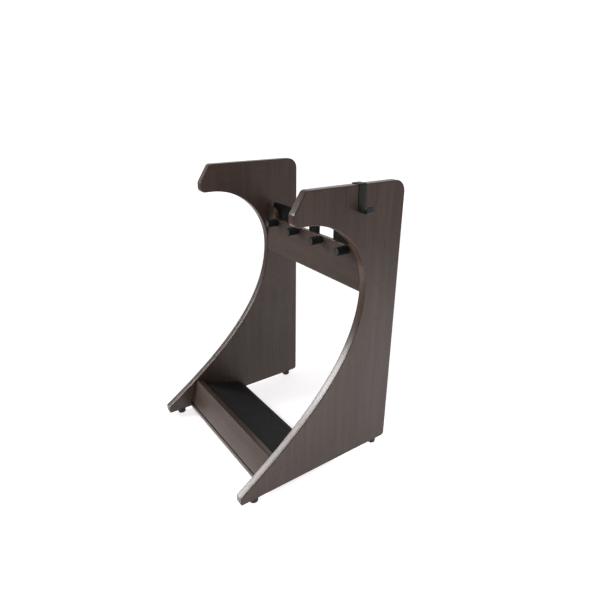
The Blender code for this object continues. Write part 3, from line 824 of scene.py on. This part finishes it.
def build_pegs():
    """Foam sleeves with a rounded end and a paler cap let into it, whose face is slightly dished."""
    for number in PEGS:
        node = "peg_sleeve_%d" % number
        low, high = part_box(node)
        x, _, z = middle(node)
        radius = (high.x - low.x) / 2
        length = high.y - low.y
        out = along_axis((0, -1, 0), (x, high.y, z))
        core_low, core_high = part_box("peg_core_%d" % number)
        bore = (core_high.x - core_low.x) / 2 + GAP
        cap_low, cap_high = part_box("peg_cap_%d" % number)
        cap_radius = (cap_high.x - cap_low.x) / 2
        cap_seat = high.y - cap_high.y
        recess = cap_radius + GAP / 2

        def soft(point, seed=number):
            """Moves a point on the sleeve's wall in or out a little; the bore stays round."""
            push = foam_ripple(point, seed, scale=70.0, depth=0.00022) - 0.00012
            reach = math.hypot(point.x, point.y)
            if reach < bore + 0.001:
                return point
            scale = 1 + push / reach
            return Vector((point.x * scale, point.y * scale, point.z))

        wall = [(radius - inset, along) for inset, along in SLEEVE_BACK]
        start = SLEEVE_BACK[-1][1]
        wall += [(radius, start + (length - SLEEVE_RIM - start) * k / 12) for k in range(1, 12)]
        wall += arc((radius - SLEEVE_RIM, length - SLEEVE_RIM), SLEEVE_RIM, 0, 90, 7)
        mouth = [(recess + BEVEL, length), (recess, length - 0.0005), (recess, cap_seat - GAP)]
        profile = [(bore, 0.0)] + wall + mouth + [(bore, cap_seat - GAP)]
        sleeve = turned("peg_foam_%d" % number, profile, out, "foam", node, shape=soft)

        face = length - 0.0002
        dish_radius = cap_radius - CAP_DISH[0]
        dish_low = face - CAP_DISH[1]
        cap = [(0, cap_seat), (cap_radius - BEVEL, cap_seat), (cap_radius, cap_seat + BEVEL)]
        cap += arc((cap_radius - CAP_RIM, face - CAP_RIM), CAP_RIM, 0, 90, 5)
        cap += [(cap_radius - inset, face - drop) for inset, drop in CAP_STEPS]
        cap += [(r, dish_low + CAP_CROWN * (1 - (r / dish_radius) ** 2))
                for r in [dish_radius * k / 6 for k in range(6, 0, -1)]]
        cap += [(0, dish_low + CAP_CROWN)]
        turned("peg_end_%d" % number, cap, out, "cap", "peg_cap_%d" % number, sharp=50)


def build_neck_rests():
    """Foam pads behind the neck board on steel backing plates, cleared where a peg's screw comes through."""
    for index, side in enumerate(REST_SIDES):
        pad_low, pad_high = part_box("rest_pad_" + side)
        plate_low, plate_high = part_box("rest_plate_" + side)
        bores = [(middle("peg_screw_%d" % n), PEG_SCREW_CLEAR) for n in PEGS]
        bores += [(middle("rest_screw_%s_%d" % (side, n)), SMALL_SCREW_CLEAR) for n in (1, 2)]

        def cutters():
            """Cylinders along Y that reach 5 mm past the pad and its plate."""
            length = plate_high.y - pad_low.y + 0.010
            return [cylinder_cutter((0, 1, 0), (x, pad_low.y - 0.005, z), radius, length, 40)
                    for (x, _, z), radius in bores if pad_low.x < x < pad_high.x]

        size = pad_high - pad_low
        bm = block(tuple(size), REST_PAD_ROUND, step=0.005)
        for vert in bm.verts:
            wave = foam_ripple(vert.co, 5.0 + index, scale=45.0, depth=0.0004) - 0.0002
            share = max(0.0, min(1.0, -vert.co.y / (size.y / 2)))
            vert.co.y -= share * min(0.0, wave)
            if vert.co.z > 0:
                vert.co.z += 0.5 * min(0.0, wave)
        bm.transform(Matrix.Translation((pad_low + pad_high) / 2))
        pad = into_piece("rest_foam_" + side, bm, "foam", "rest_pad_" + side)
        cut_out(pad, cutters())

        size = plate_high - plate_low
        outline = rounded_outline([(size.x / 2 * a, size.z / 2 * b, PLATE_CORNER)
                                   for a, b in ((-1, -1), (-1, 1), (1, 1), (1, -1))])
        place = upright(*(plate_low + plate_high) / 2)
        plate = slab("rest_backing_" + side, outline, size.y, PLATE_RIM, place, "black_steel",
                     "rest_plate_" + side)
        cut_out(plate, cutters())


# ---- screws and fittings
def cross_cutter(place, width, length, depth):
    """Cutter for a cross recess whose arms narrow as they go in."""
    bm = bmesh.new()
    rows = []
    for z, scale in ((depth * 0.6, 1.0), (0.0, 1.0), (-depth, 0.55)):
        reach, side = length / 2 * scale, width / 2 * (scale + 1) / 2
        corners = [(side, reach), (-side, reach), (-side, side)]
        row = []
        for _ in range(4):
            row += [bm.verts.new(place @ Vector((a, b, z))) for a, b in corners]
            corners = [(-b, a) for a, b in corners]
        rows.append(row)
    bm.faces.new(rows[0])
    bm.faces.new(rows[-1][::-1])
    for low, high in zip(rows, rows[1:]):
        for i in range(len(low)):
            j = (i + 1) % len(low)
            bm.faces.new((low[j], low[i], high[i], high[j]))
    return bm


def screw(name, node, place, head_radius, head_height, shank_radius, length, slot):
    """Pan-head screw along local Z, its head below z = 0, with a cross recess and a ridged shank."""
    flat = head_radius * 0.42
    profile = [(0, -head_height)]
    for k in range(7):
        angle = math.pi / 2 * k / 6
        height = head_height * (0.35 + 0.65 * math.cos(angle))
        profile.append((flat + (head_radius - flat) * math.sin(angle), -height))
    profile += [(head_radius, -head_height * 0.12), (head_radius - 0.0002, 0.0), (shank_radius, 0.0)]
    for k in range(int((length - 0.004) / THREAD_PITCH)):
        z = 0.0004 + k * THREAD_PITCH
        profile += [(shank_radius * 0.82, z), (shank_radius, z + THREAD_PITCH * 0.5)]
    profile += [(shank_radius * 0.8, length - 0.0034), (shank_radius * 0.3, length - 0.0004), (0, length)]
    piece = turned(name, profile, place, slot, node, sides=32, sharp=35)
    recess = place @ Matrix.Translation((0, 0, -head_height)) @ Matrix.Rotation(math.pi, 4, "X")
    cut_out(piece, [cross_cutter(recess, head_radius * 0.30, head_radius * 1.15, head_height * 0.62)])


def build_screws():
    """The pegs' and rests' screws go in from behind, the feet's from below."""
    rows = [("peg_bolt_%d" % n, "peg_screw_%d" % n, PEG_SCREW, "zinc") for n in PEGS]
    rows += [("rest_bolt_%s_%d" % (side, n), "rest_screw_%s_%d" % (side, n), SMALL_SCREW, "black_steel")
             for side in REST_SIDES for n in (1, 2)]
    rows += [("foot_bolt_%s_%s" % (side, end), "foot_screw_%s_%s" % (side, end), SMALL_SCREW, "zinc")
             for side in SIDES for end in ENDS]
    for name, node, (head_height, shank_radius), slot in rows:
        low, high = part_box(node)
        x, y, z = middle(node)
        if node.startswith("foot"):
            place = along_axis((0, 0, 1), (x, y, low.z + head_height))
            length = high.z - low.z - head_height
        else:
            place = along_axis((0, -1, 0), (x, high.y - head_height, z))
            length = high.y - low.y - head_height
        screw(name, node, place, (high.x - low.x) / 2, head_height, shank_radius, length, slot)


def build_feet():
    """Turned rubber feet: a soft lower lip, a tapered side with two grooves, a screw recess below."""
    recess, shelf = FOOT_RECESS
    for side in SIDES:
        for end in ENDS:
            node = "foot_%s_%s" % (side, end)
            low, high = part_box(node)
            x, y, _ = middle(node)
            radius = (high.x - low.x) / 2
            top = high.z
            sole = radius - FOOT_TAPER
            profile = [(recess + out, up) for out, up in SOLE_STEPS]
            profile += arc((sole - FOOT_LIP, FOOT_LIP), FOOT_LIP, -90, 0, 5)
            for groove in FOOT_GROOVES:
                here = sole + (radius - sole) * groove / top
                profile += [(here - cut, groove + up) for cut, up in GROOVE_STEPS]
            profile += arc((radius - FOOT_TOP_ROUND, top - FOOT_TOP_ROUND), FOOT_TOP_ROUND, 0, 90, 4)
            profile += [(SMALL_SCREW_CLEAR, top), (SMALL_SCREW_CLEAR, shelf), (recess, shelf)]
            turned("foot_rubber_%s_%s" % (side, end), profile, Matrix.Translation((x, y, 0)), "rubber", node,
                   sides=72, sharp=55)


def build_cams():
    """Cam discs let into the boards, each with a bevelled rim, a ring groove and a cross recess."""
    lean = lean_place().to_3x3()
    back, down = Vector((0, 1, 0)), Vector((0, 0, -1))
    for board, out in (("neck", back), ("front", lean @ back), ("seat", lean @ down)):
        for side in SIDES:
            node = "cam_%s_%s" % (board, side)
            low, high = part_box(node)
            radius = (high.x - low.x) / 2
            place = along_axis(out, (low + high) / 2 - out * CAM_THICK / 2)
            face = CAM_THICK - CAM_STEPS[-1][1]
            profile = [(0, 0), (radius - BEVEL, 0), (radius, BEVEL)]
            profile += [(radius - inset, CAM_THICK - drop) for inset, drop in CAM_STEPS] + [(0, face)]
            disc = turned("cam_disc_%s_%s" % (board, side), profile, place, "zinc", node, sides=48, sharp=30)
            bolt_low, bolt_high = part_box("cam_bolt_%s_%s" % (board, side))
            _, y, z = (bolt_low + bolt_high) / 2
            bore = cylinder_cutter((1, 0, 0), (bolt_low.x - 0.001, y, z), CAM_BOLT_CLEAR,
                                   bolt_high.x - bolt_low.x + 0.002, 32)
            cut_out(disc, [bore, cross_cutter(place @ Matrix.Translation((0, 0, face)), *CAM_CROSS)])


# ---- cable hook
def strip_outline():
    """Closed (out, up) outline of the bent strip, read from the hook's box; out is measured in frame x."""
    low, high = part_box("cable_hook")
    half = HOOK_THICK / 2
    inner = low.x + half
    outer = PANEL_HIGH.x + GAP + half
    top = high.z - half
    lip = high.x - half
    tray = low.z + half
    leg_low = PANEL_HIGH.z - HOOK_LEG
    lip_top = low.z + HOOK_LIP
    corners = [(inner, leg_low), (inner, top), (outer, top), (outer, tray), (lip, tray), (lip, lip_top)]
    line = [corners[0]]
    for before, corner, after in zip(corners, corners[1:], corners[2:]):
        line += fillet(before, corner, after, HOOK_BEND, 14)
    line.append(corners[-1])
    left, right = [], []
    for i, point in enumerate(line):
        behind = Vector(line[max(i - 1, 0)])
        ahead = Vector(line[min(i + 1, len(line) - 1)])
        along = (ahead - behind).normalized()
        side = Vector((-along.y, along.x)) * half
        left.append(tuple(Vector(point) + side))
        right.append(tuple(Vector(point) - side))
    return left + right[::-1]


def build_hook():
    low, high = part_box("cable_hook")
    place = Matrix(((1, 0, 0, 0), (0, 0, -1, middle("cable_hook")[1]), (0, 1, 0, 0), (0, 0, 0, 1)))
    slab("hook_strap", strip_outline(), high.y - low.y, HOOK_RIM, place, "black_steel", "cable_hook",
         body="hook", rim_steps=3)
    low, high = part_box("hook_liner")
    bm = block(tuple(high - low), LINER_ROUND, step=0.0015)
    for vert in bm.verts:
        wave = foam_ripple(vert.co, seed=4.0, scale=400.0, depth=0.00012)
        vert.co.x += min(0.0, wave) * (1 if vert.co.x > 0 else -1)
    bm.transform(Matrix.Translation((low + high) / 2))
    liner = into_piece("hook_felt", bm, "felt", "hook_liner", body="hook")


# ---- set
# The floor and the surroundings are white to the camera from every side. What they send to the object varies
# by place, for soft uneven reflections. A range is (from low, from high, to low, to high).
FLOOR_RADIUS = 14.0
FLOOR = ((0.84, 0.84, 0.845), (0.88, 0.88, 0.88))
FLOOR_GLOW = (1.0, 0.98, 1.0, 1.0)
GLOW_FAR = (0.7, 3.5, 0.62, 0.90)  # the floor's glow, by distance from the object
GLOW_BESIDE = (0.1, 0.7, 0.0, 0.55)  # more of it to the object's right
BESIDE_FADE = (1.4, 3.5, 1.0, 0.0)  # and how that fades with distance
TO_BACK = (0.114, 0.972, 0.0)
GLOW_FRONT = (-1.00, -0.35, 0.08, 1.0)  # less of it in front, along TO_BACK
TO_RIGHT = (0.915, 0.402, 0.0)
GLOW_RIGHT = (1.3, 3.0, 1.0, 0.40)  # and far to the right, along TO_RIGHT
SEEN_GLOW = 0.06  # a little more for the camera's own view of the floor
AHEAD = (-0.80, 0.60, 0.0)  # the way the camera faces
SURROUND_SIDES = (-0.1, 0.75, 0.25, 1.0)  # brightness from the camera's side round to the side ahead
SURROUND_HEIGHTS = (0.16, 0.70, 1.05, 0.30)  # brightness from near the horizon up to overhead
LAMPS = (  # name, place, target, size, watts, spread in degrees
    ("key_front_left", (-1.66, -2.00, 1.50), (0.258, -0.15, 0.15), (1.0, 0.85), 5.0, 46.0),
    ("top", (0.6, 0.2, 2.6), (0.3, 0.0, 0.0), (1.6, 1.6), 14.0, 180.0),
)


def build_floor():
    bm = bmesh.new()
    bmesh.ops.create_circle(bm, cap_ends=True, segments=96, radius=FLOOR_RADIUS)
    floor = mesh_object("floor", bm)
    made, tree, shader = new_material("pale_floor")
    place = object_place(tree)
    cloud = noise_value(tree, place, 1.5, 3.0)
    feed(tree, shader, "Base Color", mix_colour(tree, cloud, *FLOOR))
    shader.inputs["Roughness"].default_value = 0.6
    shader.inputs["Emission Color"].default_value = FLOOR_GLOW
    distance = vector_value(tree, "LENGTH", place)
    beside = math_node(tree, "MULTIPLY", remap(tree, axis_values(tree, place)[0], *GLOW_BESIDE),
                       remap(tree, distance, *BESIDE_FADE))
    front = remap(tree, vector_value(tree, "DOT_PRODUCT", place, TO_BACK), *GLOW_FRONT)
    right = remap(tree, vector_value(tree, "DOT_PRODUCT", place, TO_RIGHT), *GLOW_RIGHT)
    seen = add(tree, "LightPath").outputs["Is Camera Ray"]
    level = math_node(tree, "MAXIMUM", math_node(tree, "MULTIPLY", front, right), seen)
    glow = math_node(tree, "ADD", beside, remap(tree, distance, *GLOW_FAR))
    glow = math_node(tree, "MULTIPLY", glow, level)
    glow = math_node(tree, "ADD", glow, math_node(tree, "MULTIPLY", seen, SEEN_GLOW))
    feed(tree, shader, "Emission Strength", glow)
    floor.data.materials.append(made)


def build_surroundings():
    world = bpy.data.worlds.new("studio")
    world.use_nodes = True
    tree = world.node_tree
    back = tree.nodes["Background"]
    sky = add(tree, "TexCoord").outputs["Generated"]
    side = remap(tree, vector_value(tree, "DOT_PRODUCT", sky, AHEAD), *SURROUND_SIDES)
    height = remap(tree, axis_values(tree, sky)[2], *SURROUND_HEIGHTS)
    seen = add(tree, "LightPath").outputs["Is Camera Ray"]
    level = math_node(tree, "MAXIMUM", math_node(tree, "MULTIPLY", side, height), seen)
    tree.links.new(level, back.inputs["Strength"])
    back.inputs["Color"].default_value = (1.0, 1.0, 1.0, 1.0)
    bpy.context.scene.world = world


def build_lights():
    """Large soft area lamps that the camera doesn't see."""
    for name, place, target, size, power, spread in LAMPS:
        lamp = bpy.data.lights.new(name, "AREA")
        lamp.shape = "RECTANGLE"
        lamp.size, lamp.size_y = size
        lamp.energy = power
        lamp.spread = math.radians(spread)
        made = new_object(name, lamp)
        made.location = place
        made.rotation_euler = (Vector(target) - Vector(place)).to_track_quat("-Z", "Y").to_euler()
        made.visible_camera = False


def build_camera():
    lens = bpy.data.cameras.new("camera")
    lens.lens = CAMERA_LENS
    lens.sensor_width = 36.0
    lens.shift_x, lens.shift_y = CAMERA_SHIFT
    camera = new_object("camera", lens)
    camera.matrix_world = (Matrix.Translation(CAMERA_PLACE) @ Matrix.Rotation(CAMERA_YAW, 4, "Z")
                           @ Matrix.Rotation(math.pi / 2 - CAMERA_PITCH, 4, "X")
                           @ Matrix.Rotation(CAMERA_ROLL, 4, "Z"))
    bpy.context.scene.camera = camera


# ---- making
def finish_kept_nodes():
    """The steel pieces that stay as packed, hidden in their holes, get their finish."""
    for name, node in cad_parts.items():
        if name.startswith(("peg_core", "cam_bolt")):
            node.data.materials.clear()
            node.data.materials.append(MATERIALS["zinc"])


def main():
    build_camera()
    build_floor()
    build_surroundings()
    build_lights()
    build_panels()
    build_boards()
    build_seat_foam()
    build_pegs()
    build_neck_rests()
    build_screws()
    build_feet()
    build_cams()
    build_hook()
    finish_kept_nodes()
    bpy.context.scene.view_settings.view_transform = "Standard"


main()
